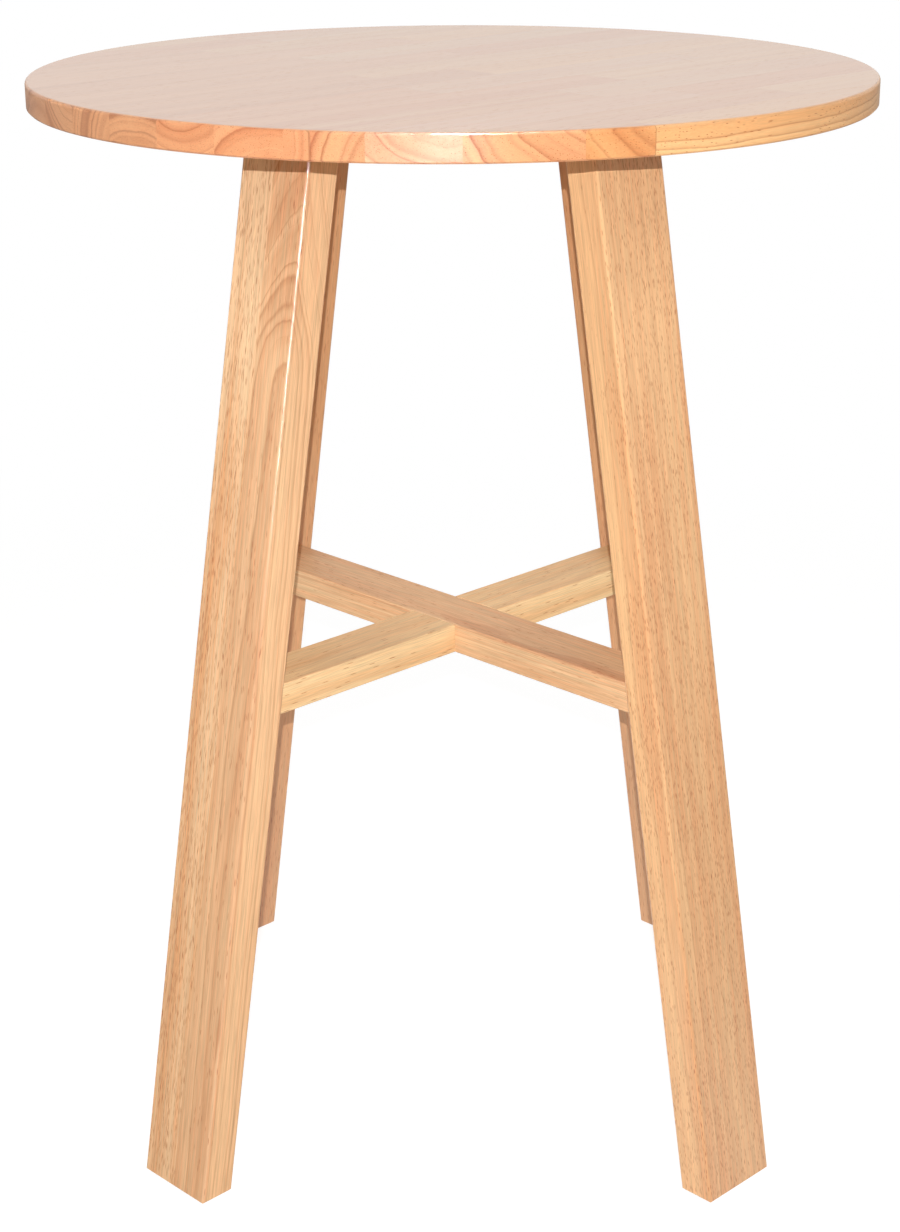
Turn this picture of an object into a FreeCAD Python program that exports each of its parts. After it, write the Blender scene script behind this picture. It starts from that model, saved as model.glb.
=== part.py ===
import FreeCAD, Part
import math
import os

Vector = FreeCAD.Vector

# A bar-height table: a round glued top on four splayed legs, tied by two crossing stretchers low down
# and by two crossing rails under the top. All sizes are in millimetres, and angles in degrees.
# The origin is on the floor under the middle of the top, +Z is up and -Y is the front.

# Overall sizes
table_height = 1050.0
top_diameter = 800.0
top_thickness = 25.0
top_edge_radius = 3.0
top_underside_bevel = 1.5

# Glued staves of the top, which run from front left to back right
stave_width = 59.0
first_glue_line = 5.5
stave_angle = 45.0
narrowest_stave_share = 0.3

# Legs, each glued up from two strips, with their wide faces turned to the corners of a square
leg_width = 90.0
leg_thickness = 37.0
leg_edge_radius = 3.0
foot_edge_bevel = 2.5
leg_foot_reach = 396.0
leg_splay_angle = 9.85
first_leg_angle = 45.0
quarter_turn_angle = 90.0
leg_corners = ["back_right", "back_left", "front_left", "front_right"]

# Lower stretchers and upper rails, sawn from one stock
rail_width = 62.0
rail_thickness = 30.0
rail_edge_radius = 2.0
stretcher_top = 506.0
under_angle = first_leg_angle
over_angle = first_leg_angle - quarter_turn_angle

# Half laps where two rails cross
lap_side_gap = 0.1

# Round-ended stub tenons and the mortises that take them
tenon_width = 44.0
tenon_thickness = 14.0
tenon_length = 24.0
tenon_root = 10.0
glue_gap = 0.1
tenon_end_gap = 1.5

# Screws that hold the top down on the upper rails
screw_diameter = 4.5
screw_length = 40.0
screw_tip_length = 6.0
screw_head_diameter = 9.0
screw_head_height = 3.2
screw_head_bevel = 1.2
washer_diameter = 10.0
washer_bore = 5.0
washer_thickness = 1.0
counterbore_depth = 8.0
counterbore_gap = 0.5
screw_hole_gap = 0.4
pilot_gap = 0.2
pilot_end_gap = 1.0
slot_travel = 3.0
screw_setback = 30.0
screw_stagger = 13.0

# Drive-in foot glides, each a disc with a pointed peg
glide_diameter = 22.0
glide_thickness = 3.0
glide_edge_bevel = 0.8
glide_stand_proud = 1.0
glide_peg_diameter = 5.0
glide_peg_length = 14.0
glide_peg_point = 2.0
glide_gap = 0.2
peg_gap = 0.1
peg_end_gap = 1.0

# One length past the faces that a cutting solid passes through
overrun = 20.0

top_radius = top_diameter / 2
under_top = table_height - top_thickness
foot_height = glide_stand_proud
splay_slope = math.tan(math.radians(leg_splay_angle))
leg_level_thickness = leg_thickness / math.cos(math.radians(leg_splay_angle))


def leg_outer_reach(height):
    """Distance from the table's middle to a leg's outer face at a height."""
    return leg_foot_reach - splay_slope * height


def leg_inner_reach(height):
    """Distance from the table's middle to a leg's inner face at a height."""
    return leg_outer_reach(height) - leg_level_thickness


def turned(shape, degrees):
    """A copy of the shape, turned about the table's upright axis."""
    copy = shape.copy()
    copy.rotate(Vector(0, 0, 0), Vector(0, 0, 1), degrees)
    return copy


def edges_along(shape, direction):
    """The straight edges of the shape that run along a direction."""
    return [
        edge
        for edge in shape.Edges
        if abs(edge.tangentAt(edge.FirstParameter).dot(direction)) > math.cos(math.radians(1))
    ]


def level_slab(low, high):
    """A block as wide as the whole table, between two heights."""
    side = top_diameter + leg_foot_reach
    return Part.makeBox(side * 2, side * 2, high - low, Vector(-side, -side, low))


def round_ended_prism(width, thickness, start, end, height):
    """A prism along X with a round-ended section, for tenons and mortises."""
    radius = thickness / 2
    half_flat = width / 2 - radius
    low_left = Vector(start, -half_flat, height - radius)
    low_right = Vector(start, half_flat, height - radius)
    high_right = Vector(start, half_flat, height + radius)
    high_left = Vector(start, -half_flat, height + radius)
    right_end = Vector(start, half_flat + radius, height)
    left_end = Vector(start, -half_flat - radius, height)
    outline = Part.Wire([
        Part.LineSegment(low_left, low_right).toShape(),
        Part.Arc(low_right, right_end, high_right).toShape(),
        Part.LineSegment(high_right, high_left).toShape(),
        Part.Arc(high_left, left_end, low_left).toShape(),
    ])
    return Part.Face(outline).extrude(Vector(end - start, 0, 0))


def upright_slot(radius, travel, low, high, place):
    """An upright hole, drawn out along X by a travel to each side where it has one."""
    x, y = place
    hole = Part.makeCylinder(radius, high - low, Vector(x - travel, y, low))
    if travel > 0:
        far_end = Part.makeCylinder(radius, high - low, Vector(x + travel, y, low))
        middle = Part.makeBox(travel * 2, radius * 2, high - low, Vector(x - travel, y - radius, low))
        hole = hole.fuse([middle, far_end]).removeSplitter()
    return hole


def turned_piece(outline):
    """A piece turned on the upright axis from an outline of radii and heights."""
    corners = [Vector(radius, 0, height) for radius, height in outline]
    face = Part.Face(Part.makePolygon(corners + corners[:1]))
    return face.revolve(Vector(0, 0, 0), Vector(0, 0, 1), 360)


def rail_middle(rail_top):
    """The height of a rail's middle, where its tenons are."""
    return rail_top - rail_thickness / 2


def mortise(rail_top):
    """The round-ended pocket that takes a rail's tenon, for a leg that stands out along +X."""
    middle = rail_middle(rail_top)
    face = leg_inner_reach(middle)
    return round_ended_prism(
        tenon_width + glue_gap * 2,
        tenon_thickness + glue_gap * 2,
        face - overrun,
        face + tenon_length + tenon_end_gap,
        middle,
    )


def glide_reach():
    """Distance from the table's middle to a glide's axis, under the middle of the foot."""
    return leg_outer_reach(foot_height) - leg_level_thickness / 2


def glide_pocket():
    """The shallow recess and the pilot hole that a glide is driven into."""
    place = Vector(glide_reach(), 0, foot_height - overrun)
    recess_depth = glide_thickness - glide_stand_proud
    recess = Part.makeCylinder(glide_diameter / 2 + glide_gap, recess_depth + overrun, place)
    pilot_depth = recess_depth + glide_peg_length + peg_end_gap
    pilot = Part.makeCylinder(glide_peg_diameter / 2 + peg_gap, pilot_depth + overrun, place)
    return recess.fuse(pilot)


def past_bevel(foot_end, face_end):
    """The corners of a triangle, seen from the side, that holds all that a bevel takes off.

    The bevel runs from its end under the foot to its end on the leg's face, each a place across and
    a height. The triangle reaches as far again past both.
    """
    across = face_end[0] - foot_end[0]
    rise = face_end[1] - foot_end[1]
    far_across = face_end[0] + across
    low = foot_end[1] - rise
    return [(foot_end[0] - across, low), (far_across, face_end[1] + rise), (far_across, low)]


def foot_edge_wedges():
    """What the bevels take off the four edges of the foot of the leg that stands out along +X."""
    low = foot_height
    high = foot_height + foot_edge_bevel
    wedges = []
    for reach, side in ((leg_outer_reach, 1), (leg_inner_reach, -1)):
        triangle = past_bevel((reach(low) - side * foot_edge_bevel, low), (reach(high), high))
        corners = [Vector(x, -leg_width, z) for x, z in triangle]
        face = Part.Face(Part.makePolygon(corners + corners[:1]))
        wedges.append(face.extrude(Vector(0, leg_width * 2, 0)))
    for side in (-1, 1):
        half = side * leg_width / 2
        triangle = past_bevel((half - side * foot_edge_bevel, low), (half, high))
        corners = [Vector(0, y, z) for y, z in triangle]
        face = Part.Face(Part.makePolygon(corners + corners[:1]))
        wedges.append(face.extrude(Vector(leg_foot_reach + overrun, 0, 0)))
    return wedges


def leg_strips():
    """The two glued strips of the leg that stands out along +X, first the one on its -Y side."""
    length = table_height / math.cos(math.radians(leg_splay_angle)) + overrun * 2
    blank = Part.makeBox(
        leg_thickness, leg_width, length, Vector(-leg_thickness, -leg_width / 2, -overrun)
    )
    blank = blank.makeFillet(leg_edge_radius, edges_along(blank, Vector(0, 0, 1)))
    blank.rotate(Vector(0, 0, 0), Vector(0, 1, 0), -leg_splay_angle)
    blank.translate(Vector(leg_foot_reach, 0, 0))
    leg = blank.common(level_slab(foot_height, under_top))
    leg = leg.cut([mortise(under_top), mortise(stretcher_top), glide_pocket()] + foot_edge_wedges())
    halves = []
    for side in (-1, 1):
        low_y = min(0, side * leg_width)
        half = Part.makeBox(
            leg_foot_reach + overrun, leg_width, table_height + overrun, Vector(0, low_y, -overrun)
        )
        halves.append(leg.common(half))
    return halves


def rail(rail_top, lies_over):
    """A rail along X with a tenon at each end, half lapped over or under the one it crosses."""
    bottom = rail_top - rail_thickness
    middle = rail_middle(rail_top)
    length = leg_inner_reach(bottom) * 2
    bar = Part.makeBox(length, rail_width, rail_thickness, Vector(-length / 2, -rail_width / 2, bottom))
    bar = bar.makeFillet(rail_edge_radius, edges_along(bar, Vector(1, 0, 0)))
    low_reach = leg_inner_reach(bottom)
    high_reach = leg_inner_reach(rail_top)
    side_view = Part.makePolygon([
        Vector(-low_reach, -rail_width, bottom),
        Vector(low_reach, -rail_width, bottom),
        Vector(high_reach, -rail_width, rail_top),
        Vector(-high_reach, -rail_width, rail_top),
        Vector(-low_reach, -rail_width, bottom),
    ])
    bar = bar.common(Part.Face(side_view).extrude(Vector(0, rail_width * 2, 0)))
    shoulder = leg_inner_reach(middle)
    tenons = [
        round_ended_prism(
            tenon_width, tenon_thickness, side * (shoulder - tenon_root), side * (shoulder + tenon_length), middle
        )
        for side in (-1, 1)
    ]
    bar = bar.fuse(tenons).removeSplitter()
    lap_low = bottom - overrun if lies_over else middle
    lap_high = middle if lies_over else rail_top + overrun
    lap_width = rail_width + lap_side_gap * 2
    lap = Part.makeBox(
        lap_width, rail_width * 2, lap_high - lap_low, Vector(-lap_width / 2, -rail_width, lap_low)
    )
    return bar.cut(lap)


def screw_places(lies_over):
    """Where the screws stand along and across an upper rail, in zigzag about its middle line.

    The rail across the staves has four, and the one along them two.
    """
    outer_reach = leg_inner_reach(under_top) - screw_setback
    inner_reach = (rail_width / 2 + outer_reach) / 2
    places = [(-outer_reach, -screw_stagger), (outer_reach, screw_stagger)]
    if lies_over:
        places += [(-inner_reach, screw_stagger), (inner_reach, -screw_stagger)]
    return places


def screw_seat():
    """The height of the face that the washers bear on."""
    return under_top - rail_thickness + counterbore_depth


def upper_rail(lies_over):
    """An upper rail. The one across the staves has slots, so that the top can swell and shrink."""
    bar = rail(under_top, lies_over)
    travel = slot_travel if lies_over else 0
    bottom = under_top - rail_thickness
    holes = []
    for place in screw_places(lies_over):
        shank_radius = screw_diameter / 2 + screw_hole_gap
        head_radius = washer_diameter / 2 + counterbore_gap
        holes.append(upright_slot(shank_radius, travel, bottom - overrun, under_top + overrun, place))
        holes.append(upright_slot(head_radius, travel, bottom - overrun, screw_seat(), place))
    return bar.cut(holes)


def screw():
    """A pan-head wood screw that points up, with the underside of its head at height zero."""
    shank_radius = screw_diameter / 2
    head_radius = screw_head_diameter / 2
    return turned_piece([
        (0, -screw_head_height),
        (head_radius - screw_head_bevel, -screw_head_height),
        (head_radius, screw_head_bevel - screw_head_height),
        (head_radius, 0),
        (shank_radius, 0),
        (shank_radius, screw_length - screw_tip_length),
        (0, screw_length),
    ])


def washer():
    """A flat washer whose upper face is at height zero."""
    base = Vector(0, 0, -washer_thickness)
    disc = Part.makeCylinder(washer_diameter / 2, washer_thickness, base)
    return disc.cut(Part.makeCylinder(washer_bore / 2, washer_thickness, base))


def at_screw_places(shape, height):
    """Copies of the shape at every screw of both upper rails, at a height."""
    copies = []
    for lies_over, angle in ((True, over_angle), (False, under_angle)):
        for x, y in screw_places(lies_over):
            copy = shape.copy()
            copy.translate(Vector(x, y, height))
            copies.append(turned(copy, angle))
    return copies


def top_staves():
    """The staves of the top, from the front right edge to the back left one."""
    disc = Part.makeCylinder(top_radius, top_thickness, Vector(0, 0, under_top))
    rims = [edge for edge in disc.Edges if isinstance(edge.Curve, Part.Circle)]
    rims.sort(key=lambda edge: edge.Curve.Center.z)
    disc = disc.makeFillet(top_edge_radius, rims[1:])
    rims = [edge for edge in disc.Edges if isinstance(edge.Curve, Part.Circle)]
    rims.sort(key=lambda edge: edge.Curve.Center.z)
    disc = disc.makeChamfer(top_underside_bevel, rims[:1])
    bite = screw_length - washer_thickness - (under_top - screw_seat())
    pilot = Part.makeCylinder(
        screw_diameter / 2 + pilot_gap, bite + pilot_end_gap + overrun, Vector(0, 0, -overrun)
    )
    disc = disc.cut(at_screw_places(pilot, under_top))
    narrowest = stave_width * narrowest_stave_share
    first = math.ceil((narrowest - top_radius - first_glue_line) / stave_width)
    last = math.floor((top_radius - narrowest - first_glue_line) / stave_width)
    glue_lines = [first_glue_line + stave_width * number for number in range(first, last + 1)]
    sides = [-top_radius - overrun] + glue_lines + [top_radius + overrun]
    staves = []
    for low, high in zip(sides, sides[1:]):
        length = top_diameter + overrun * 2
        blank = Part.makeBox(
            length, high - low, top_thickness + overrun * 2, Vector(-length / 2, low, under_top - overrun)
        )
        staves.append(disc.common(turned(blank, stave_angle)))
    return staves


def foot_glide():
    """A nylon glide with a peg, for the leg that stands out along +X."""
    radius = glide_diameter / 2
    peg_radius = glide_peg_diameter / 2
    peg_top = glide_thickness + glide_peg_length
    glide = turned_piece([
        (0, 0),
        (radius - glide_edge_bevel, 0),
        (radius, glide_edge_bevel),
        (radius, glide_thickness),
        (peg_radius, glide_thickness),
        (peg_radius, peg_top - glide_peg_point),
        (0, peg_top),
    ])
    glide.translate(Vector(glide_reach(), 0, foot_height - glide_stand_proud))
    return glide


def table_pieces():
    """Every piece of the table under its node's name."""
    pieces = {}
    for number, stave in enumerate(top_staves(), start=1):
        pieces[f"top_stave_{number:02d}"] = stave
    strips = leg_strips()
    glide = foot_glide()
    for turn, corner in enumerate(leg_corners):
        angle = first_leg_angle + quarter_turn_angle * turn
        for number, strip in enumerate(strips, start=1):
            pieces[f"{corner}_leg_strip_{number}"] = turned(strip, angle)
        pieces[f"{corner}_foot_glide"] = turned(glide, angle)
    pieces["lower_stretcher_over"] = turned(rail(stretcher_top, True), over_angle)
    pieces["lower_stretcher_under"] = turned(rail(stretcher_top, False), under_angle)
    pieces["upper_rail_over"] = turned(upper_rail(True), over_angle)
    pieces["upper_rail_under"] = turned(upper_rail(False), under_angle)
    pieces["top_screws"] = Part.makeCompound(at_screw_places(screw(), screw_seat() - washer_thickness))
    pieces["screw_washers"] = Part.makeCompound(at_screw_places(washer(), screw_seat()))
    return pieces


os.makedirs("parts", exist_ok=True)
for name, piece in table_pieces().items():
    piece.exportStep(f"parts/{name}.step")
    print(name, len(piece.Solids), "solids,", round(piece.Volume), "cubic millimetres, valid:", piece.isValid())
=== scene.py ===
"""Looks of a bar-height wooden table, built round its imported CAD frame.

The table is a round top of glued staves on four splayed legs, tied by crossing stretchers and rails.
Places are in metres in the frame's own axes. Grain is described in millimetres in each board's own
grain frame: across the board, inward from its face, and along its length.
"""

import logging
import math
from dataclasses import dataclass, field
from enum import Enum
from typing import Iterable

import bmesh
import bpy
from mathutils import Matrix, Vector

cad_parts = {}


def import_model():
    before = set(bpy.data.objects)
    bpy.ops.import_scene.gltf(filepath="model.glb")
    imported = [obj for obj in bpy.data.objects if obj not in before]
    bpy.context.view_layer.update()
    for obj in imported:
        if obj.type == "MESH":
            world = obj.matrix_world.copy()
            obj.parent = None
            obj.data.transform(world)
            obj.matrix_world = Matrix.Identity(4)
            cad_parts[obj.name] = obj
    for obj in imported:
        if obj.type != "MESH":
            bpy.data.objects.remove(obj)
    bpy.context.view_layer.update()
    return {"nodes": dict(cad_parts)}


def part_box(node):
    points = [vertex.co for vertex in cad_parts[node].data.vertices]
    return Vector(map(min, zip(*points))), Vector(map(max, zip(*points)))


log = logging.getLogger("bar_table")

MILLIMETRE = 0.001

Colour = tuple[float, float, float]
Triple = tuple[float, float, float]
Points = tuple[tuple[float, float], ...]

WHITE: Colour = (1.0, 1.0, 1.0)


def linear(red: int, green: int, blue: int) -> Colour:
    """Turns a screen colour into the linear values that shaders take.

    Args:
        red: Screen red, 0 to 255.
        green: Screen green, 0 to 255.
        blue: Screen blue, 0 to 255.

    Returns:
        The same colour as three linear values.
    """
    def channel(value: int) -> float:
        """One channel, by the sRGB curve."""
        share = value / 255
        return share / 12.92 if share <= 0.04045 else ((share + 0.055) / 1.055) ** 2.4

    return channel(red), channel(green), channel(blue)


class Channel:
    """A value that runs through a material, with Python's operators as Math nodes."""

    def __init__(self, recipe: "Recipe", socket: bpy.types.NodeSocket) -> None:
        """Wraps one output socket of a recipe's node."""
        self.recipe = recipe
        self.socket = socket

    def sibling(self, key: int | str) -> "Channel":
        """Another output of the same node, by name or number."""
        return Channel(self.recipe, self.socket.node.outputs[key])

    def _math(self, operation: str, *values: "Plug") -> "Channel":
        """Adds one Math node on these values."""
        return self.recipe.add("ShaderNodeMath", {"operation": operation}, dict(enumerate(values)))

    def __add__(self, other: "Plug") -> "Channel":
        """self + other."""
        return self._math("ADD", self, other)

    __radd__ = __add__

    def __sub__(self, other: "Plug") -> "Channel":
        """self - other."""
        return self._math("SUBTRACT", self, other)

    def __rsub__(self, other: "Plug") -> "Channel":
        """other - self."""
        return self._math("SUBTRACT", other, self)

    def __mul__(self, other: "Plug") -> "Channel":
        """self * other."""
        return self._math("MULTIPLY", self, other)

    __rmul__ = __mul__

    def __truediv__(self, other: "Plug") -> "Channel":
        """self / other."""
        return self._math("DIVIDE", self, other)

    def __gt__(self, other: "Plug") -> "Channel":
        """1 where self is above other, else 0."""
        return self._math("GREATER_THAN", self, other)

    def __lt__(self, other: "Plug") -> "Channel":
        """1 where self is below other, else 0."""
        return self._math("LESS_THAN", self, other)

    def whole(self) -> "Channel":
        """The whole number below."""
        return self._math("FLOOR", self)

    def fraction(self) -> "Channel":
        """What is left above the whole number."""
        return self._math("FRACT", self)

    def size(self) -> "Channel":
        """The value without its sign."""
        return self._math("ABSOLUTE", self)

    def swing(self) -> "Channel":
        """How far a noise or a curve lies from its middle, 0.5."""
        return self - 0.5

    def zigzag(self, step: float) -> "Channel":
        """A straight-sided wave from 0 to step, twice step long."""
        return self._math("PINGPONG", self, step)

    def between(self, low: "Plug", high: "Plug") -> "Channel":
        """low where the value is 0 and high where it is 1."""
        return self * (high - low) + low

    def eased(self, low: float, high: float, start: float = 0.0, end: float = 1.0) -> "Channel":
        """Runs smoothly from start to end as the value goes from low to high.

        Args:
            low: Value at which the change begins.
            high: Value at which it is over.
            start: Result up to low.
            end: Result from high on.

        Returns:
            The eased value.
        """
        return self.recipe.add(
            "ShaderNodeMapRange",
            {"interpolation_type": "SMOOTHSTEP"},
            {0: self, 1: low, 2: high, 3: start, 4: end},
        )


Plug = Channel | float | Triple


class Recipe:
    """A material's or a world's nodes under construction."""

    def __init__(self, owner: bpy.types.Material | bpy.types.World) -> None:
        """Empties the owner's node tree to start it anew.

        Args:
            owner: The material or the world.
        """
        self.owner = owner
        owner.use_nodes = True
        self.tree = owner.node_tree
        self.tree.nodes.clear()

    def add(self, kind: str, settings: dict[str, object] | None = None,
            values: dict[int | str, Plug] | None = None, output: int | str = 0) -> Channel | None:
        """Adds one node.

        Args:
            kind: The node's type, such as ShaderNodeMath.
            settings: Properties of the node, set first. "stops" fills a colour ramp with
                (place, value) pairs and "points" bends a float curve through (place, value) pairs.
            values: What goes into each input, by name or number: a plain value or a link.
            output: Which output is wanted, by name or number.

        Returns:
            That output, or nothing for a node that has none.
        """
        node = self.tree.nodes.new(kind)
        for key, value in (settings or {}).items():
            if key == "stops":
                self._fill_ramp(node.color_ramp, value)
            elif key == "points":
                self._bend_curve(node.mapping, value)
            else:
                setattr(node, key, value)
        for key, value in (values or {}).items():
            socket = node.inputs[key]
            if isinstance(value, Channel):
                self.tree.links.new(value.socket, socket)
            elif isinstance(value, tuple) and socket.type == "RGBA":
                socket.default_value = (*value, 1.0)
            else:
                socket.default_value = value
        return Channel(self, node.outputs[output]) if node.outputs else None

    @staticmethod
    def _fill_ramp(ramp: bpy.types.ColorRamp, stops: Points) -> None:
        """Gives a colour ramp grey stops.

        Args:
            ramp: The node's ramp.
            stops: Each stop's place and grey value.
        """
        while len(ramp.elements) < len(stops):
            ramp.elements.new(1.0)
        for element, (place, value) in zip(ramp.elements, stops):
            element.position = place
            element.color = (value, value, value, 1.0)

    @staticmethod
    def _bend_curve(mapping: bpy.types.CurveMapping, points: Points) -> None:
        """Bends a float curve through points.

        Args:
            mapping: The node's curve.
            points: Each point's place and value.
        """
        curve = mapping.curves[0]
        while len(curve.points) < len(points):
            curve.points.new(0.5, 0.5)
        for point, (place, value) in zip(curve.points, points):
            point.location = (place, value)
        mapping.update()

    def object_place(self) -> Channel:
        """The surface point in the object's own coordinates, in metres."""
        return self.add("ShaderNodeTexCoord", output="Object")

    def millimetre_place(self) -> Channel:
        """The surface point in the object's own coordinates, in millimetres."""
        return self.vector("MULTIPLY", self.object_place(), (1 / MILLIMETRE,) * 3)

    def vector(self, operation: str, *values: Plug, output: int | str = 0) -> Channel:
        """Adds one Vector Math node on these values."""
        return self.add("ShaderNodeVectorMath", {"operation": operation}, dict(enumerate(values)), output)

    def noise(self, place: Channel, waves: Triple, detail: float = 2.0, output: str = "Fac") -> Channel:
        """Adds smooth noise, stretched along each axis.

        Args:
            place: Where the noise is read.
            waves: Waves in a millimetre across, inward and along.
            detail: How many finer layers are added.
            output: "Fac" for a number or "Color" for three.

        Returns:
            The noise, about 0.5.
        """
        stretched = self.vector("MULTIPLY", place, waves)
        return self.add("ShaderNodeTexNoise", {"noise_dimensions": "3D"},
                        {"Vector": stretched, "Scale": 1.0, "Detail": detail, "Roughness": 0.55}, output)

    def noise_along(self, number: Channel) -> Channel:
        """Smooth noise that changes with one number, about 0.5."""
        return self.add("ShaderNodeTexNoise", {"noise_dimensions": "1D"},
                        {"W": number, "Scale": 1.0, "Detail": 1.0, "Roughness": 0.5}, "Fac")

    def choice(self, number: Channel) -> Channel:
        """An unrelated value from 0 to 1 for each number."""
        return self.add("ShaderNodeTexWhiteNoise", {"noise_dimensions": "1D"}, {"W": number}, "Value")

    def blend(self, share: Plug, first: Plug, second: Plug, way: str = "MIX") -> Channel:
        """Mixes two colours.

        Args:
            share: How much of the second colour shows.
            first: Colour at 0.
            second: Colour at 1.
            way: The Mix node's blending.

        Returns:
            The mixed colour.
        """
        return self.add("ShaderNodeMix", {"data_type": "RGBA", "blend_type": way, "clamp_factor": True},
                        {0: share, 6: first, 7: second}, 2)

    def ray(self, kind: str) -> Channel:
        """1 for rays of this kind, such as Camera or Glossy, else 0."""
        return self.add("ShaderNodeLightPath", output=f"Is {kind} Ray")

    def seen(self) -> Channel:
        """1 where the camera looks straight or through something clear, else 0."""
        return self.ray("Camera") + self.ray("Transmission")

    def glow(self, kind: str, colour: Colour, strength: float) -> Channel:
        """Adds a Background or an Emission shader of one colour."""
        return self.add(f"ShaderNode{kind}", {}, {"Color": colour, "Strength": strength})

    def shader_mix(self, share: Channel, first: Channel, second: Channel) -> Channel:
        """Mixes two shaders, the second by its share."""
        return self.add("ShaderNodeMixShader", {}, {0: share, 1: first, 2: second})

    def finish(self, surface: dict[str, Plug], relief: Channel | None = None,
               depth: float = 0.0) -> bpy.types.Material:
        """Closes the material with a Principled surface.

        Args:
            surface: Values or links of the Principled node's inputs.
            relief: Height that feeds the normal, 0 to 1.
            depth: How deep the relief is, in metres.

        Returns:
            The finished material.
        """
        if relief is not None:
            bump = self.add("ShaderNodeBump", {}, {"Height": relief, "Distance": depth, "Strength": 1.0})
            surface = surface | {"Normal": bump}
        shader = self.add("ShaderNodeBsdfPrincipled", {}, surface)
        self.add("ShaderNodeOutputMaterial", {}, {"Surface": shader})
        return self.owner


class Tone(Enum):
    """Colours of one board: its pale wood, its warm wood and its ring lines."""

    CREAM = (linear(232, 194, 152), linear(220, 162, 124), linear(196, 124, 92))
    PALE = (linear(244, 215, 169), linear(233, 194, 146), linear(210, 148, 100))
    SAND = (linear(236, 203, 162), linear(223, 178, 137), linear(200, 134, 98))
    BLOND = (linear(240, 204, 163), linear(222, 168, 123), linear(186, 118, 74))
    GOLD = (linear(234, 194, 152), linear(219, 168, 128), linear(184, 119, 80))
    HONEY = (linear(238, 194, 145), linear(223, 168, 121), linear(186, 118, 74))
    TAN = (linear(227, 178, 132), linear(213, 156, 111), linear(176, 112, 72))
    PEACH = (linear(228, 166, 122), linear(218, 148, 104), linear(182, 104, 68))
    ROSE = (linear(226, 172, 124), linear(216, 148, 106), linear(180, 104, 68))
    AMBER = (linear(226, 166, 112), linear(214, 146, 94), linear(174, 102, 60))
    STRAW = (linear(242, 196, 142), linear(232, 175, 120), linear(198, 134, 86))
    SHELL = (linear(231, 186, 147), linear(220, 156, 120), linear(196, 120, 90))
    BUFF = (linear(232, 174, 130), linear(214, 152, 110), linear(164, 102, 72))

    @property
    def pale(self) -> Colour:
        """The pale wood."""
        return self.value[0]

    @property
    def warm(self) -> Colour:
        """The warm wood."""
        return self.value[1]

    @property
    def line(self) -> Colour:
        """The ring lines."""
        return self.value[2]


@dataclass(frozen=True)
class Spot:
    """A surface point in a board's grain frame, in millimetres.

    Attributes:
        place: The point as a vector.
        seeded: The same, moved to the board's own stretch of the noises.
        across: Its place across the board.
        inward: How far in it lies from the face.
        along: Its place along the board.
    """

    place: Channel
    seeded: Channel
    across: Channel
    inward: Channel
    along: Channel


@dataclass(frozen=True)
class GrainFrame:
    """Where a board's grain coordinates lie in the table.

    Attributes:
        origin: Where they start.
        across: Direction across the board.
        inward: Direction from its face into the wood.
    """

    origin: Vector
    across: Vector
    inward: Vector

    def spot(self, recipe: Recipe, shift: Triple) -> Spot:
        """Reads the surface point in this frame.

        Args:
            recipe: The material under construction.
            shift: How far the board's noises are moved, in millimetres.

        Returns:
            The point.
        """
        along = self.across.cross(self.inward)
        turn = Matrix((self.across, self.inward, along)).transposed().to_euler()
        place = recipe.add("ShaderNodeMapping", {"vector_type": "TEXTURE"}, {
            "Vector": recipe.object_place(),
            "Location": tuple(self.origin),
            "Rotation": tuple(turn),
            "Scale": (MILLIMETRE,) * 3,
        })
        seeded = recipe.vector("ADD", place, shift)
        across = recipe.add("ShaderNodeSeparateXYZ", {}, {0: place})
        return Spot(place, seeded, across, across.sibling(1), across.sibling(2))


def level_grain(turn: float, height: float) -> GrainFrame:
    """Grain of a level board: across it, up through it, and along it.

    Args:
        turn: The board's direction from above, in radians.
        height: Where its grain frame starts over the floor.

    Returns:
        The grain frame.
    """
    return GrainFrame(Vector((0.0, 0.0, height)),
                      Vector((-math.sin(turn), math.cos(turn), 0.0)), Vector((0.0, 0.0, 1.0)))


@dataclass(frozen=True)
class Cut:
    """How one length of board was sawn from its log.

    Attributes:
        pith: The log's middle, across and inward.
        tone: The length's colours.
        start: Where along the board this length begins.
        fingers: How long the fingers of that joint are, nothing for a plain one.
    """

    pith: tuple[float, float]
    tone: Tone = Tone.HONEY
    start: float = -10000.0
    fingers: float = 9.0


@dataclass(frozen=True)
class Joined:
    """What a board's jointed lengths give at each point of it.

    Attributes:
        pith: The log's middle.
        pale: The pale wood's colour.
        warm: The warm wood's colour.
        line: The ring lines' colour.
        joint: 1 on a joint, nothing for a board of one length.
    """

    pith: Plug
    pale: Plug
    warm: Plug
    line: Plug
    joint: Channel | None


@dataclass(frozen=True)
class Drift:
    """How far a board's rings wander outwards from the pith along its length.

    Attributes:
        points: The wander at places along the board.
        reach: Length that the curve covers.
        depth: The most that the rings may wander to either side.
    """

    points: Points
    reach: float = 1100.0
    depth: float = 150.0

    def add(self, recipe: Recipe, radius: Channel, along: Channel) -> Channel:
        """Adds the wander to the distance from the pith.

        Args:
            recipe: The material under construction.
            radius: Distance from the pith.
            along: Place along the board.

        Returns:
            The radius with the wander added.
        """
        points = tuple((at / self.reach, 0.5 + shift / (2 * self.depth)) for at, shift in self.points)
        curve = recipe.add("ShaderNodeFloatCurve", {"points": points}, {"Value": along / self.reach})
        return radius + curve.swing() * (2 * self.depth)


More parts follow.
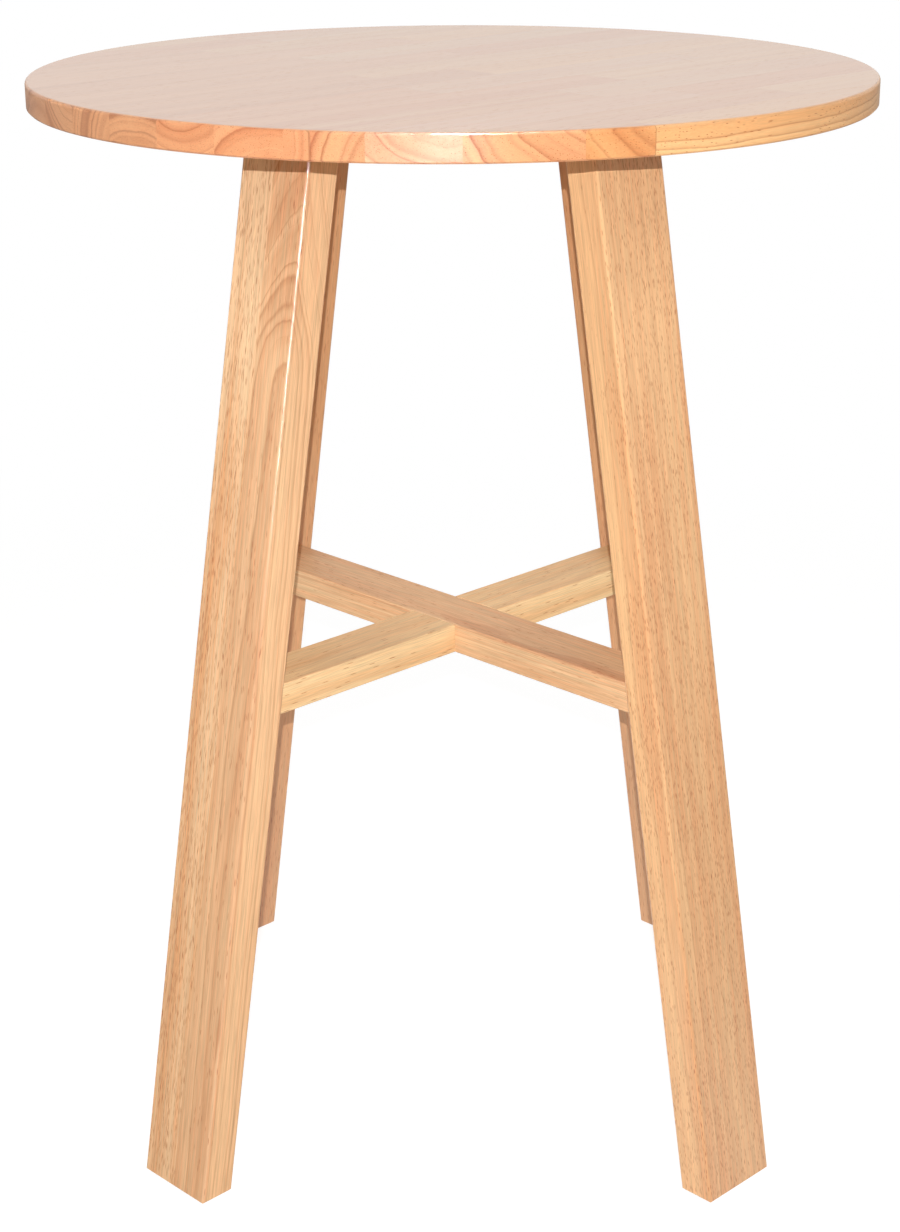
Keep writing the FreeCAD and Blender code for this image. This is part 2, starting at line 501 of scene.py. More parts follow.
@dataclass(frozen=True)
class Lacquer:
    """The clear satin finish over a board.

    Attributes:
        coat: How much of full lacquer it carries.
        haze: Roughness of the lacquer.
        index: The lacquer's refractive index.
        shine: Gloss of the wood under it.
        edge: Place across of the one rounded edge that carries lacquer, nothing for all of the board.
        edge_radius: That edge's rounding.
        edge_fade: Over how much of it the lacquer sets in.
    """

    coat: float = 1.0
    haze: float = 0.34
    index: float = 1.5
    shine: float = 0.2
    edge: float | None = None
    edge_radius: float = 3.0
    edge_fade: float = 1.0

    def share(self, spot: Spot) -> Plug:
        """Works out how much lacquer a point carries.

        Args:
            spot: The surface point.

        Returns:
            From 0 for none to the lacquer's coat.
        """
        if self.edge is None:
            return self.coat
        inner = self.edge - self.edge_radius
        sideways = spot.across.eased(inner, inner + self.edge_fade)
        outer = spot.inward.eased(self.edge_radius - self.edge_fade, self.edge_radius, 1.0, 0.0)
        return sideways * outer * self.coat


MATT = Lacquer(coat=0.0, shine=0.05)


@dataclass(frozen=True)
class UpperSide:
    """How a stave's smoothly polished upper side differs from its rim.

    Attributes:
        rise: Heights over the underside between which the rim turns into the upper side.
        lines: Strength of the ring lines there.
        coat: How much lacquer it carries.
        veil: How far one even colour covers the staves' own.
        veil_colour: That colour.
    """

    rise: tuple[float, float] = (24.2, 24.9)
    lines: float = 0.25
    coat: float = 0.85
    veil: float = 0.55
    veil_colour: Colour = linear(229, 176, 134)

    def share(self, spot: Spot) -> Channel:
        """1 on the upper side, 0 on the rim."""
        return spot.inward.eased(*self.rise)


@dataclass(frozen=True)
class Species:
    """What all boards of this light hardwood have alike.

    Lengths are in millimetres but for the relief's depth, which is in metres. Waves are counted in a
    millimetre across, inward and along, and those of ring and band in one ring. The seeds and the
    seed shift set one board's patterns apart from another's. The warmths say how strongly a pattern
    turns pale wood warm, and the lights how strongly it lightens and darkens it.
    """

    seed_shift: Triple = (371.0, 113.0, 779.0)
    ring_seed: float = 3.1
    line_seed: float = 17.0
    band_seed: float = 5.3
    sway_waves: Triple = (0.011, 0.011, 0.0022)
    sway_reach: Triple = (22.0, 22.0, 0.0)
    ripple_waves: Triple = (0.09, 0.09, 0.012)
    ripple_reach: float = 2.6
    ring_waves: float = 0.6
    ring_unevenness: float = 1.6
    ring_profile: Points = ((0.0, 0.5), (0.08, 0.12), (0.35, 0.0), (0.68, 0.22), (0.92, 1.0), (1.0, 0.5))
    faintest_line: float = 0.1
    band_waves: float = 0.7
    band_warmth: float = 1.6
    patch_waves: Triple = (0.021, 0.021, 0.0045)
    streak_waves: Triple = (0.55, 0.55, 0.006)
    streak_warmth: float = 2.6
    streak_light: float = 0.5
    fibre_waves: Triple = (1.1, 1.1, 0.03)
    fibre_light: float = 0.75
    fine_detail: float = 3.0
    sapwood_start: float = 1.5
    sapwood_end: float = 9.0
    sapwood_line_loss: float = 0.3
    upward_paling_start: float = 650.0
    upward_paling_end: float = 1000.0
    vessels_across: float = 0.95
    vessel_rim: tuple[float, float] = (0.16, 0.34)
    vessel_patchiness: float = 2.2
    vessel_sparseness: float = 0.45
    vessels_at_lines: float = 0.3
    vessel_colour: Colour = linear(168, 74, 22)
    vessel_strength: float = 0.8
    finger_pitch: float = 2.2
    joint_width: float = 0.5
    joint_colour: Colour = linear(140, 90, 58)
    joint_strength: float = 0.35
    roughness: float = 0.40
    vessel_roughness: float = 0.2
    streak_roughness: float = 0.1
    fibre_relief: float = 0.25
    relief_depth: float = 0.08 * MILLIMETRE


HARDWOOD = Species()


@dataclass(frozen=True)
class Growth:
    """What a board's wood shows at each point of it.

    Attributes:
        phase: Growth rings counted out from the pith.
        mark: Strength of the line where a ring ends.
        patch: Broad noise.
        streak: Long narrow noise.
        fibre: Fine noise along the grain.
        plain: How far the wood is plain sapwood.
    """

    phase: Channel
    mark: Channel
    patch: Channel
    streak: Channel
    fibre: Channel
    plain: Channel


@dataclass(frozen=True)
class Timber:
    """One board of the light hardwood, with growth rings, fibres and pores.

    Attributes:
        seed: Sets this board's noises apart from the others'.
        cuts: The lengths that it is joined from.
        ring: Width of a growth ring.
        lines: Strength of the ring lines.
        pores: How common vessels are.
        pore_length: Length of a vessel.
        figure: Strength of streaks and fibres.
        sapwood: How far the wood turns pale and plain under the face.
        upward_paling: How far it turns pale towards the board's upper end.
        drift: How the rings wander along the board.
        lacquer: The finish over it.
        upper: What its upper side looks like, where that differs.
    """

    seed: float
    cuts: tuple[Cut, ...]
    ring: float = 9.0
    lines: float = 0.5
    pores: float = 0.5
    pore_length: float = 16.0
    figure: float = 1.0
    sapwood: float = 0.0
    upward_paling: float = 0.0
    drift: Drift | None = None
    lacquer: Lacquer = Lacquer()
    upper: UpperSide | None = None

    def material(self, name: str, grain: GrainFrame) -> bpy.types.Material:
        """Builds the node material.

        Args:
            name: The material's name.
            grain: The board's grain frame.

        Returns:
            The material.
        """
        recipe = Recipe(bpy.data.materials.new(name))
        spot = grain.spot(recipe, tuple(self.seed * step for step in HARDWOOD.seed_shift))
        board = self._join(recipe, spot)
        growth = self._grow(recipe, spot, board.pith)
        pore = self._pores(recipe, spot, growth)
        lines: Plug = self.lines
        coat = self.lacquer.share(spot)
        veil = None
        if self.upper:
            topside = self.upper.share(spot)
            lines = topside.between(lines, self.upper.lines)
            coat = topside.between(coat, self.upper.coat)
            veil = topside * self.upper.veil
        colour = self._colour(recipe, spot, board, growth, lines)
        colour = recipe.blend(pore * HARDWOOD.vessel_strength, colour, HARDWOOD.vessel_colour)
        if board.joint is not None:
            colour = recipe.blend(board.joint * HARDWOOD.joint_strength, colour, HARDWOOD.joint_colour)
        if veil is not None:
            colour = recipe.blend(veil, colour, self.upper.veil_colour)
        roughness = (HARDWOOD.roughness + pore * HARDWOOD.vessel_roughness
                     + growth.streak.swing() * HARDWOOD.streak_roughness)
        return recipe.finish({
            "Base Color": colour,
            "Roughness": roughness,
            "Specular IOR Level": self.lacquer.shine,
            "Coat Weight": coat,
            "Coat Roughness": self.lacquer.haze,
            "Coat IOR": self.lacquer.index,
        }, growth.fibre * HARDWOOD.fibre_relief - pore, HARDWOOD.relief_depth)

    def _join(self, recipe: Recipe, spot: Spot) -> Joined:
        """Chooses the pith and the colours of each finger-jointed length of the board.

        Args:
            recipe: The material under construction.
            spot: The surface point.

        Returns:
            What the length at that point gives it.
        """
        first = self.cuts[0]
        pith: Plug = (*first.pith, 0.0)
        pale: Plug = first.tone.pale
        warm: Plug = first.tone.warm
        line: Plug = first.tone.line
        joint = None
        zigzag = HARDWOOD.finger_pitch
        for cut in self.cuts[1:]:
            edge = spot.along + spot.across.zigzag(zigzag) * (cut.fingers / zigzag)
            past = edge > cut.start
            pith = recipe.add("ShaderNodeMix", {"data_type": "VECTOR"},
                              {0: past, 4: pith, 5: (*cut.pith, 0.0)}, 1)
            pale = recipe.blend(past, pale, cut.tone.pale)
            warm = recipe.blend(past, warm, cut.tone.warm)
            line = recipe.blend(past, line, cut.tone.line)
            near = (edge - cut.start).size() < HARDWOOD.joint_width
            joint = near if joint is None else joint + near
        return Joined(pith, pale, warm, line, joint)

    def _grow(self, recipe: Recipe, spot: Spot, pith: Plug) -> Growth:
        """Lets the wood grow: its rings, its noises and its sapwood.

        Args:
            recipe: The material under construction.
            spot: The surface point.
            pith: The log's middle.

        Returns:
            What the wood shows at that point.
        """
        phase = self._rings(recipe, spot, pith)
        return Growth(
            phase=phase,
            mark=self._ring_marks(recipe, phase),
            patch=recipe.noise(spot.seeded, HARDWOOD.patch_waves),
            streak=recipe.noise(spot.seeded, HARDWOOD.streak_waves, HARDWOOD.fine_detail),
            fibre=recipe.noise(spot.seeded, HARDWOOD.fibre_waves, HARDWOOD.fine_detail),
            plain=spot.inward.eased(HARDWOOD.sapwood_start, HARDWOOD.sapwood_end, 0.0, self.sapwood),
        )

    def _rings(self, recipe: Recipe, spot: Spot, pith: Plug) -> Channel:
        """Counts growth rings out from the pith, with their natural waver.

        Args:
            recipe: The material under construction.
            spot: The surface point.
            pith: The log's middle.

        Returns:
            The count, whole where one ring ends.
        """
        sway = recipe.noise(spot.seeded, HARDWOOD.sway_waves, output="Color")
        ripple = recipe.noise(spot.seeded, HARDWOOD.ripple_waves)
        swayed = recipe.vector("MULTIPLY_ADD", recipe.vector("SUBTRACT", sway, (0.5, 0.5, 0.5)),
                               HARDWOOD.sway_reach, spot.place)
        offset = recipe.vector("MULTIPLY", recipe.vector("SUBTRACT", swayed, pith), (1.0, 1.0, 0.0))
        radius = recipe.vector("LENGTH", offset, output="Value") + ripple.swing() * HARDWOOD.ripple_reach
        if self.drift:
            radius = self.drift.add(recipe, radius, spot.along)
        count = radius / self.ring
        uneven = recipe.noise_along(count * HARDWOOD.ring_waves + self.seed * HARDWOOD.ring_seed)
        return count + uneven * HARDWOOD.ring_unevenness

    def _ring_marks(self, recipe: Recipe, phase: Channel) -> Channel:
        """Draws thin dark lines where one ring ends, each of its own strength.

        Args:
            recipe: The material under construction.
            phase: The rings' count.

        Returns:
            Strength of the line.
        """
        profile = recipe.add("ShaderNodeValToRGB", {"stops": HARDWOOD.ring_profile},
                             {0: phase.fraction()})
        faintest = HARDWOOD.faintest_line
        chance = recipe.choice(phase.whole() + self.seed * HARDWOOD.line_seed)
        return profile * chance.eased(faintest, 1.0, faintest, 1.0)

    def _warmth(self, recipe: Recipe, spot: Spot, growth: Growth) -> Channel:
        """Works out how warm the wood is.

        Args:
            recipe: The material under construction.
            spot: The surface point.
            growth: What the wood shows there.

        Returns:
            The warmth, from 0 for pale to 1 for warm.
        """
        bands = recipe.noise_along(growth.phase * HARDWOOD.band_waves + self.seed * HARDWOOD.band_seed)
        warmth = (0.5 + bands.swing() * HARDWOOD.band_warmth + growth.patch.swing()
                  + growth.streak.swing() * (HARDWOOD.streak_warmth * self.figure)) - growth.plain
        # Paler towards the board's upper end.
        return warmth - spot.along.eased(HARDWOOD.upward_paling_start, HARDWOOD.upward_paling_end, 0.0, self.upward_paling)

    def _pores(self, recipe: Recipe, spot: Spot, growth: Growth) -> Channel:
        """Opens vessels: short dark dashes along the grain, and dots on end grain.

        Args:
            recipe: The material under construction.
            spot: The surface point.
            growth: What the wood shows there.

        Returns:
            1 inside a vessel, 0 outside.
        """
        across = HARDWOOD.vessels_across
        cell = recipe.vector("MULTIPLY", spot.seeded, (across, across, 1 / self.pore_length))
        vessel = recipe.add("ShaderNodeTexVoronoi", {"voronoi_dimensions": "3D", "feature": "F1"},
                            {"Vector": cell, "Scale": 1.0, "Randomness": 1.0}, "Distance")
        picked = recipe.add("ShaderNodeSeparateColor", {}, {0: vessel.sibling("Color")})
        clusters = (growth.patch * HARDWOOD.vessel_patchiness - HARDWOOD.vessel_sparseness
                    + growth.mark * HARDWOOD.vessels_at_lines)
        share = self.pores * clusters * (1.0 - growth.plain)
        return vessel.eased(*HARDWOOD.vessel_rim, 1.0, 0.0) * (picked < share)

    def _colour(self, recipe: Recipe, spot: Spot, board: Joined, growth: Growth,
                lines: Plug) -> Channel:
        """Colours the wood between its pores.

        Args:
            recipe: The material under construction.
            spot: The surface point.
            board: What the length of board there gives.
            growth: What the wood shows there.
            lines: Strength of the ring lines.

        Returns:
            The colour.
        """
        colour = recipe.blend(self._warmth(recipe, spot, growth), board.pale, board.warm)
        sapwood_fade = 1.0 - growth.plain * HARDWOOD.sapwood_line_loss
        colour = recipe.blend(growth.mark * lines * sapwood_fade, colour, board.line)
        lightness = (1.0 + growth.fibre.swing() * (HARDWOOD.fibre_light * self.figure)
                     + growth.streak.swing() * (HARDWOOD.streak_light * self.figure))
        grey = recipe.add("ShaderNodeCombineColor", {}, dict.fromkeys(range(3), lightness))
        return recipe.blend(1.0, colour, grey, "MULTIPLY")


@dataclass
class Top:
    """The round top: fourteen staves glued edge to edge.

    Attributes:
        underside: Height of the top's underside.
        turn: Direction of the staves from above.
        lacquer: The finish on their rim.
    """

    underside: float = 1.025
    turn: float = math.radians(45)
    lacquer: Lacquer = Lacquer(coat=0.3, haze=0.25, index=1.6)

    def timbers(self) -> dict[str, Timber]:
        """Chooses the timber of each stave, from the front right edge to the back left one.

        Returns:
            The timbers by the staves' names.
        """
        staves = (
            (Cut((-500.0, 63.0), Tone.AMBER), Cut((-372.0, 190.0), Tone.STRAW, -141.0, 0.0)),
            (Cut((-385.0, 55.0), Tone.ROSE), Cut((-300.0, -60.0), Tone.HONEY, 96.0)),
            (Cut((-285.0, 60.0), Tone.SHELL), Cut((-250.0, -80.0), Tone.PEACH, 30.0)),
            (Cut((-60.0, 10.0), Tone.PEACH), Cut((-256.0, -2.0), Tone.ROSE, -351.0, 0.0),
             Cut((-200.0, -70.0), Tone.CREAM, -40.0)),
            (Cut((-154.0, -17.0), Tone.PEACH), Cut((-90.0, -40.0), Tone.HONEY, 60.0)),
            (Cut((-78.0, 52.0), Tone.PEACH), Cut((-60.0, -90.0), Tone.CREAM, -120.0),
             Cut((-110.0, 80.0), Tone.HONEY, 240.0)),
            (Cut((-30.0, -60.0), Tone.BUFF), Cut((10.0, -60.0), Tone.STRAW, 10.0)),
            (Cut((-24.0, -15.0), Tone.BUFF), Cut((60.0, -50.0), Tone.HONEY, -90.0),
             Cut((20.0, 120.0), Tone.CREAM, 210.0)),
            (Cut((60.0, 62.0), Tone.BUFF), Cut((90.0, -70.0), Tone.PEACH, 100.0)),
            (Cut((150.0, -60.0), Tone.BUFF), Cut((160.0, 130.0), Tone.CREAM, -30.0)),
            (Cut((210.0, 80.0), Tone.BUFF), Cut((230.0, -80.0), Tone.STRAW, 150.0)),
            (Cut((270.0, -50.0), Tone.BUFF), Cut((250.0, 70.0), Tone.HONEY, -60.0)),
            (Cut((330.0, 90.0), Tone.PEACH), Cut((340.0, -60.0), Tone.CREAM, 40.0)),
            (Cut((380.0, -120.0), Tone.HONEY), Cut((400.0, 80.0), Tone.PEACH, 30.0)),
        )
        return {
            f"top_stave_{number:02d}": Timber(seed=number * 0.37, cuts=cuts, lines=0.9, pores=0.35,
                                              figure=0.5, lacquer=self.lacquer, upper=UpperSide())
            for number, cuts in enumerate(staves, start=1)
        }

    def dress(self, nodes: dict[str, bpy.types.Object]) -> None:
        """Gives every stave its wood.

        Args:
            nodes: The frame's CAD nodes by name.
        """
        grain = level_grain(self.turn, self.underside)
        for name, timber in self.timbers().items():
            wear(nodes[name], timber.material(f"{name}_wood", grain))


@dataclass
class Legs:
    """Four splayed legs, each glued up from two strips.

    Attributes:
        foot_reach: How far out the wide outer face stands at the floor.
        splay: How far a leg leans outwards.
        half_width: Half the width of a leg's wide face, in millimetres.
        corners: Each leg's name and where it stands round the table, in degrees.
        swirl: The wander of the rings that arch over the front left leg's second strip.
    """

    foot_reach: float = 0.396
    splay: float = math.radians(9.85)
    half_width: float = 45.0
    corners: tuple[tuple[str, float], ...] = (
        ("back_right", 45.0), ("back_left", 135.0), ("front_left", 225.0), ("front_right", 315.0))
    swirl: Drift = Drift(((0.0, 0.0), (500.0, 3.0), (760.0, 6.0), (830.0, 10.0), (880.0, 26.0),
                          (960.0, 54.0), (1080.0, 84.0)))

    def grain(self, angle: float) -> GrainFrame:
        """Across the leg's wide face, inward from it, and up along the leg.

        Args:
            angle: Where the leg stands round the table, in degrees.

        Returns:
            The leg's grain frame, with its origin at the foot of the wide outer face.
        """
        turn = math.radians(angle)
        outward = Vector((math.cos(turn), math.sin(turn), 0.0))
        inward = -(outward * math.cos(self.splay) + Vector((0.0, 0.0, math.sin(self.splay))))
        return GrainFrame(outward * self.foot_reach, Vector((-math.sin(turn), math.cos(turn), 0.0)), inward)

    def timbers(self) -> dict[str, Timber]:
        """Chooses the timber of each strip.

        Returns:
            The timbers by the strips' names.
        """
        bright_edge = Lacquer(shine=0.05, edge=self.half_width)
        return {
            "front_left_leg_strip_1": Timber(
                seed=1.3, cuts=(Cut((-150.0, -160.0), Tone.BLOND),), ring=7.0, lines=0.35, pores=2.8,
                upward_paling=0.8, lacquer=MATT),
            "front_left_leg_strip_2": Timber(
                seed=2.7, cuts=(Cut((66.0, -96.0), Tone.GOLD),), ring=5.7, lines=0.55, pores=0.3,
                sapwood=0.7, drift=self.swirl, lacquer=bright_edge),
            "front_right_leg_strip_1": Timber(
                seed=3.9, cuts=(Cut((-170.0, 90.0)),), ring=8.0, lines=0.4, pores=1.3, pore_length=10.0,
                sapwood=0.15, upward_paling=0.35),
            "front_right_leg_strip_2": Timber(
                seed=4.4, cuts=(Cut((150.0, 130.0)),), ring=8.0, lines=0.3, pores=1.3, pore_length=10.0,
                upward_paling=0.35),
            "back_left_leg_strip_1": Timber(seed=5.2, cuts=(Cut((40.0, 90.0), Tone.TAN),)),
            "back_left_leg_strip_2": Timber(seed=6.1, cuts=(Cut((90.0, -60.0), Tone.TAN),)),
            "back_right_leg_strip_1": Timber(seed=7.7, cuts=(Cut((-60.0, 110.0), Tone.TAN),), lines=0.3),
            "back_right_leg_strip_2": Timber(seed=8.5, cuts=(Cut((60.0, 80.0), Tone.TAN),), lines=0.3),
        }

    def dress(self, nodes: dict[str, bpy.types.Object]) -> None:
        """Gives every strip its wood.

        Args:
            nodes: The frame's CAD nodes by name.
        """
        timbers = self.timbers()
        for corner, angle in self.corners:
            grain = self.grain(angle)
            for number in (1, 2):
                name = f"{corner}_leg_strip_{number}"
                wear(nodes[name], timbers[name].material(f"{name}_wood", grain))


@dataclass
class Rails:
    """The crossing lower stretchers and upper rails.

    Attributes:
        angles: The direction of each layer's rail from above, in degrees.
    """

    angles: dict[str, float] = field(default_factory=lambda: {"over": -45.0, "under": 45.0})

    def timbers(self) -> dict[str, Timber]:
        """Chooses the timber of each rail.

        Returns:
            The timbers by the rails' names.
        """
        return {
            "lower_stretcher_over": Timber(
                seed=9.1, cuts=(Cut((-20.0, -75.0), Tone.SAND),), ring=8.0, lines=0.6, pores=0.25,
                lacquer=MATT),
            "lower_stretcher_under": Timber(
                seed=10.4, cuts=(Cut((60.0, 130.0), Tone.PALE),), lines=0.25, pores=0.1, lacquer=MATT),
            "upper_rail_over": Timber(seed=11.6, cuts=(Cut((50.0, -60.0)),)),
            "upper_rail_under": Timber(seed=12.3, cuts=(Cut((-70.0, -40.0), Tone.CREAM),)),
        }

    def dress(self, nodes: dict[str, bpy.types.Object]) -> None:
        """Gives every rail its wood.

        Args:
            nodes: The frame's CAD nodes by name.
        """
        for name, timber in self.timbers().items():
            low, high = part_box(name)
            layer = name.rsplit("_", 1)[-1]
            grain = level_grain(math.radians(self.angles[layer]), (low.z + high.z) / 2)
            wear(nodes[name], timber.material(f"{name}_wood", grain))


@dataclass(frozen=True)
class Zinc:
    """Bright zinc plate on steel, a little clouded."""

    cloud_waves: Triple = (0.5, 0.5, 0.5)
    cloud_detail: float = 3.0
    cool: Colour = linear(196, 198, 200)
    warm: Colour = linear(222, 218, 206)
    roughness: float = 0.22
    cloud_roughness: float = 0.2

    def material(self, name: str) -> bpy.types.Material:
        """Builds the node material.

        Args:
            name: The material's name.

        Returns:
            The material.
        """
        recipe = Recipe(bpy.data.materials.new(name))
        cloud = recipe.noise(recipe.millimetre_place(), self.cloud_waves, self.cloud_detail)
        return recipe.finish({
            "Base Color": recipe.blend(cloud, self.cool, self.warm),
            "Metallic": 1.0,
            "Roughness": self.roughness + cloud * self.cloud_roughness,
        })


@dataclass(frozen=True)
class Nylon:
    """Moulded dark brown nylon with a fine grit."""

    grit_waves: Triple = (1.5, 1.5, 1.5)
    grit_detail: float = 3.0
    dark: Colour = linear(78, 56, 40)
    light: Colour = linear(98, 72, 52)
    roughness: float = 0.45
    grit_roughness: float = 0.2
    relief_depth: float = 0.04 * MILLIMETRE

    def material(self, name: str) -> bpy.types.Material:
        """Builds the node material.

        Args:
            name: The material's name.

        Returns:
            The material.
        """
        recipe = Recipe(bpy.data.materials.new(name))
        grit = recipe.noise(recipe.millimetre_place(), self.grit_waves, self.grit_detail)
        return recipe.finish({
            "Base Color": recipe.blend(grit, self.dark, self.light),
            "Roughness": self.roughness + grit * self.grit_roughness,
        }, grit, self.relief_depth)


@dataclass
class Fixings:
    """Screws and washers under the top, and the glides in the feet."""

    metal: tuple[str, ...] = ("top_screws", "screw_washers")
    glides: tuple[str, ...] = ("front_left_foot_glide", "front_right_foot_glide",
                               "back_left_foot_glide", "back_right_foot_glide")

    def dress(self, nodes: dict[str, bpy.types.Object]) -> None:
        """Gives the fixings their metal and nylon.

        Args:
            nodes: The frame's CAD nodes by name.
        """
        zinc = Zinc().material("zinc_plate")
        nylon = Nylon().material("brown_nylon")
        for name in self.metal:
            wear(nodes[name], zinc)
        for name in self.glides:
            wear(nodes[name], nylon)


def wear(piece: bpy.types.Object, material: bpy.types.Material) -> None:
    """Puts one material on all of a piece and reports it.

    Args:
        piece: The mesh object.
        material: What it wears.
    """
    piece.data.materials.clear()
    piece.data.materials.append(material)
    log.info("%s wears %s", piece.name, material.name)


@dataclass(frozen=True)
class Lamp:
    """One square lamp.

    Attributes:
        name: The lamp's name.
        place: Where it hangs.
        aim: The point it faces.
        side: Length of its side.
        power: Its watts.
        spread: How far its beam opens, in degrees.
        lights: Whether it lights matt colour.
        shows: Whether gloss mirrors it.
    """

    name: str
    place: Triple
    aim: Triple
    side: float
    power: float
    spread: float = 180.0
    lights: bool = True
    shows: bool = False

    def hang(self) -> None:
        """Puts the lamp in the scene."""
        light = bpy.data.lights.new(self.name, "AREA")
        light.size = self.side
        light.energy = self.power
        light.spread = math.radians(self.spread)
        place = Vector(self.place)
        piece = bpy.data.objects.new(self.name, light)
        piece.location = place
        piece.rotation_euler = (Vector(self.aim) - place).to_track_quat("-Z", "Y").to_euler()
        piece.visible_diffuse = self.lights
        piece.visible_glossy = self.shows
        bpy.context.scene.collection.objects.link(piece)


@dataclass(frozen=True)
class PhotoView:
    """The photograph's camera, in pixels of the photograph, metres and radians."""

    frame_height: float = 1232.0
    focal_length: float = 2357.67
    principal_shift: float = -5.1
    distance: float = 2.27614
    height: float = 1.32704
    pitch: float = 0.3488
    yaw: float = -0.0044
    roll: float = -0.0048
    sensor_millimetres: float = 36.0
    sight: float = 200.0

    def place(self) -> None:
        """Makes this view the scene's camera."""
        lens = bpy.data.cameras.new("photo_view")
        lens.sensor_fit = "VERTICAL"
        lens.sensor_height = self.sensor_millimetres
        lens.lens = self.focal_length * self.sensor_millimetres / self.frame_height
        lens.shift_x = self.principal_shift / self.frame_height
        lens.clip_end = self.sight
        camera = bpy.data.objects.new("photo_view", lens)
        bpy.context.scene.collection.objects.link(camera)
        ahead = Vector((math.sin(self.yaw) * math.cos(self.pitch),
                        math.cos(self.yaw) * math.cos(self.pitch), -math.sin(self.pitch)))
        right = Vector((math.cos(self.yaw), -math.sin(self.yaw), 0.0))
        up = right.cross(ahead)
        tilted = right * math.cos(-self.roll) - up * math.sin(-self.roll)
        upright = right * math.sin(-self.roll) + up * math.cos(-self.roll)
        camera.matrix_world = Matrix.Translation((
            -math.sin(self.yaw) * self.distance, -math.cos(self.yaw) * self.distance, self.height,
        )) @ Matrix((tilted, upright, -ahead)).transposed().to_4x4()
        bpy.context.scene.camera = camera


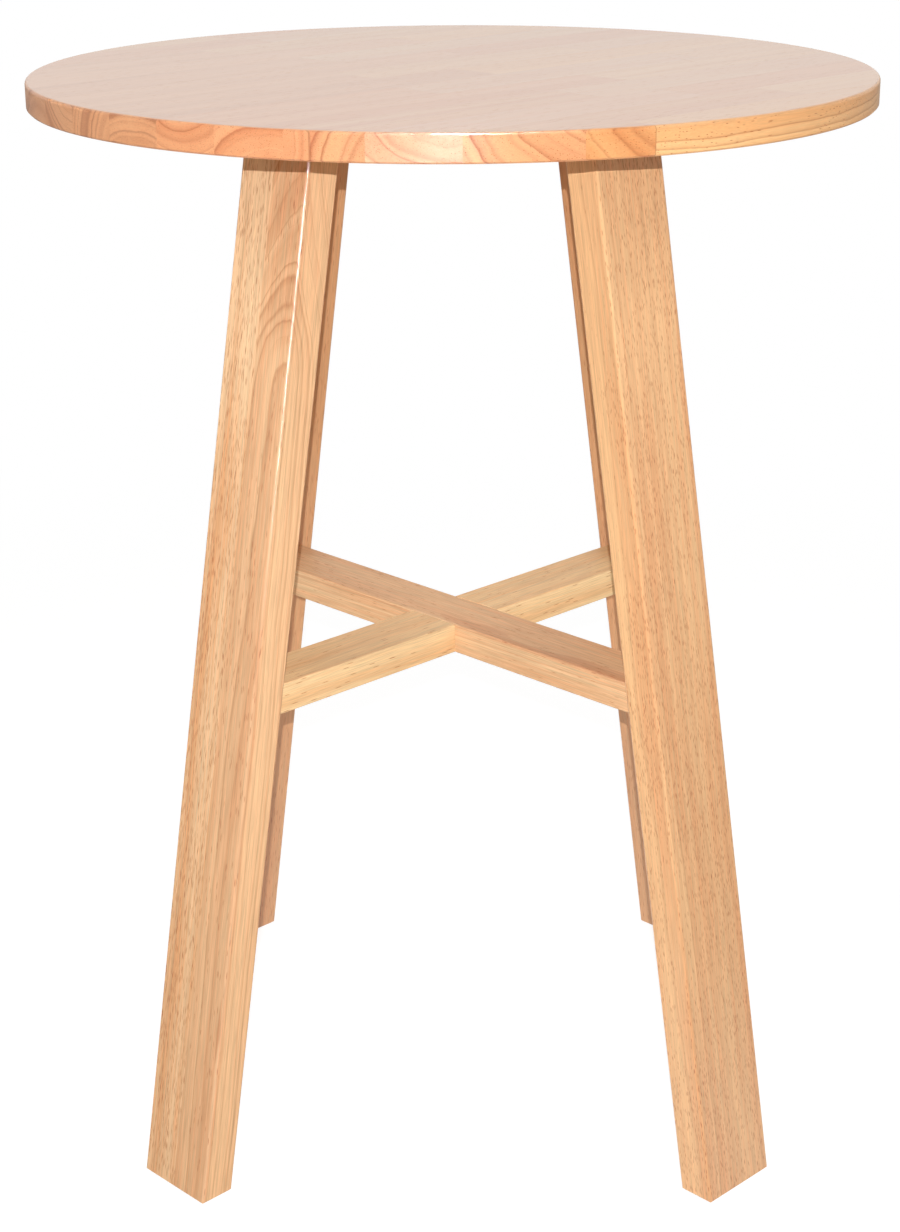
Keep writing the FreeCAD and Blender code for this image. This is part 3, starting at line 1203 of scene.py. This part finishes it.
@dataclass
class Studio:
    """Lamps, floor and background of a white studio.

    Attributes:
        room_tint: Colour of the light that comes from all round.
        ambient: Its strength from low down.
        ceiling: Its strength from overhead.
        room: Brightness of the room in front, as gloss mirrors it.
        floor_size: Side of the floor.
        floor_colour: What the floor sends back of the lamps' light.
        bounce: Strength of the floor's warm glow on the table.
        bounce_tint: Colour of that glow.
        shadow_share: How much of the lamps' light the floor shows, and so of their shadows.
        near_glow: What lifts the floor near the table to white.
        sky_rise: How steep a direction is where the low light turns to the light from overhead.
        wall_turn: How far back a direction points where the mirrored room turns to the white wall.
        shown_reach: Distances between which the seen floor loses its shadows.
        mirrored_reach: Distances between which the mirrored floor turns to the dim room.
        flash_side: Side of the flash and of the two glints.
    """

    room_tint: Colour = (1.0, 0.93, 0.82)
    ambient: float = 0.68
    ceiling: float = 0.10
    room: float = 0.35
    floor_size: float = 60.0
    floor_colour: Colour = linear(203, 190, 174)
    bounce: float = 0.16
    bounce_tint: Colour = (1.0, 0.88, 0.72)
    shadow_share: float = 0.22
    near_glow: float = 0.9
    sky_rise: tuple[float, float] = (0.0, 0.6)
    wall_turn: tuple[float, float] = (0.1, 0.6)
    shown_reach: tuple[float, float] = (0.7, 2.4)
    mirrored_reach: tuple[float, float] = (0.4, 1.4)
    flash_side: float = 0.008

    def world(self) -> None:
        """Lights the table from low all round, shows white behind it and mirrors a dim room in front."""
        world = bpy.data.worlds.new("white_room")
        bpy.context.scene.world = world
        recipe = Recipe(world)
        towards = recipe.add("ShaderNodeSeparateXYZ", {}, {
            0: recipe.add("ShaderNodeTexCoord", output="Generated")})
        backward = towards.sibling("Y").eased(*self.wall_turn)
        upward = towards.sibling("Z").eased(*self.sky_rise)
        level = recipe.glow("Background", self.room_tint, self.ambient)
        overhead = recipe.glow("Background", self.room_tint, self.ceiling)
        lit = recipe.shader_mix(upward, level, overhead)
        white = recipe.glow("Background", WHITE, 1.0)
        room = recipe.glow("Background", WHITE, self.room)
        mirrored = recipe.shader_mix(backward, room, white)
        mixed = recipe.shader_mix(recipe.ray("Glossy"), lit, mirrored)
        mixed = recipe.shader_mix(recipe.seen(), mixed, white)
        recipe.add("ShaderNodeOutputWorld", {}, {"Surface": mixed})

    def floor(self) -> None:
        """Lays a pale floor that glows warm on the table, shows as white and keeps its shadow."""
        shape = bmesh.new()
        bmesh.ops.create_grid(shape, x_segments=1, y_segments=1, size=self.floor_size / 2)
        mesh = bpy.data.meshes.new("studio_floor")
        shape.to_mesh(mesh)
        shape.free()
        floor = bpy.data.objects.new("studio_floor", mesh)
        bpy.context.scene.collection.objects.link(floor)
        recipe = Recipe(bpy.data.materials.new("pale_floor"))
        pale = recipe.add("ShaderNodeBsdfDiffuse", {}, {"Color": self.floor_colour})
        warm_glow = recipe.glow("Emission", self.bounce_tint, self.bounce)
        lit = recipe.add("ShaderNodeAddShader", {}, {0: pale, 1: warm_glow})
        dim = recipe.add("ShaderNodeBsdfDiffuse", {}, {"Color": (self.shadow_share,) * 3})
        lift = recipe.glow("Emission", WHITE, self.near_glow)
        near = recipe.add("ShaderNodeAddShader", {}, {0: dim, 1: lift})
        far = recipe.glow("Emission", WHITE, 1.0)
        room = recipe.glow("Emission", WHITE, self.room)
        reach = recipe.vector("LENGTH", recipe.object_place(), output="Value")
        shown = recipe.shader_mix(reach.eased(*self.shown_reach), near, far)
        mirrored = recipe.shader_mix(reach.eased(*self.mirrored_reach), near, room)
        mixed = recipe.shader_mix(recipe.ray("Glossy"), lit, mirrored)
        mixed = recipe.shader_mix(recipe.seen(), mixed, shown)
        recipe.add("ShaderNodeOutputMaterial", {}, {"Surface": mixed})
        floor.data.materials.append(recipe.owner)

    def lamps(self) -> tuple[Lamp, ...]:
        """Plans a flash at the lens, a glint each for leg and rim, and soft light from all round.

        The leg's glint hangs below the top's upper side, so the top never mirrors it.

        Returns:
            The lamps.
        """
        walls = tuple(
            Lamp("side_wall", (side * 2.6, -0.8, 2.8), (side * 0.4, 0.0, 1.0), side=1.2, power=3.0,
                 spread=60.0)
            for side in (-1, 1))
        return (
            Lamp("key", (0.0075, -2.40, 1.449), (0.0, -0.4, 0.7), side=self.flash_side, power=21.0,
                 spread=120.0),
            Lamp("leg_glint", (0.0075, -2.40, 1.04), (-0.26, -0.3, 0.9), side=self.flash_side,
                 power=1.8, spread=20.0, lights=False, shows=True),
            Lamp("rim_glint", (0.04, -1.0, 2.2), (0.0, -0.4, 1.045), side=self.flash_side,
                 power=0.7, spread=12.0, lights=False, shows=True),
            Lamp("overhead", (0.0, 0.0, 3.4), (0.0, 0.0, 1.0), side=2.6, power=8.0),
            Lamp("back_wall", (0.0, 4.5, 2.4), (0.0, 0.0, 0.7), side=5.0, power=40.0),
        ) + walls

    def build(self) -> None:
        """Sets up the whole studio."""
        self.world()
        self.floor()
        for lamp in self.lamps():
            lamp.hang()
        bpy.context.scene.view_settings.view_transform = "Standard"


def corners(box: Iterable[Vector]) -> list[list[float]]:
    """A box's two corners as plain lists."""
    return [list(corner) for corner in box]


def main() -> None:
    """Dresses the frame and lights it."""
    logging.basicConfig(level=logging.INFO, format="%(name)s: %(message)s")
    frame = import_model()
    nodes = frame["nodes"]
    for assembly in (Top(), Legs(), Rails(), Fixings()):
        assembly.dress(nodes)
        log.info("%s is dressed", type(assembly).__name__)
    PhotoView().place()
    Studio().build()


if __name__ == "__main__":
    main()
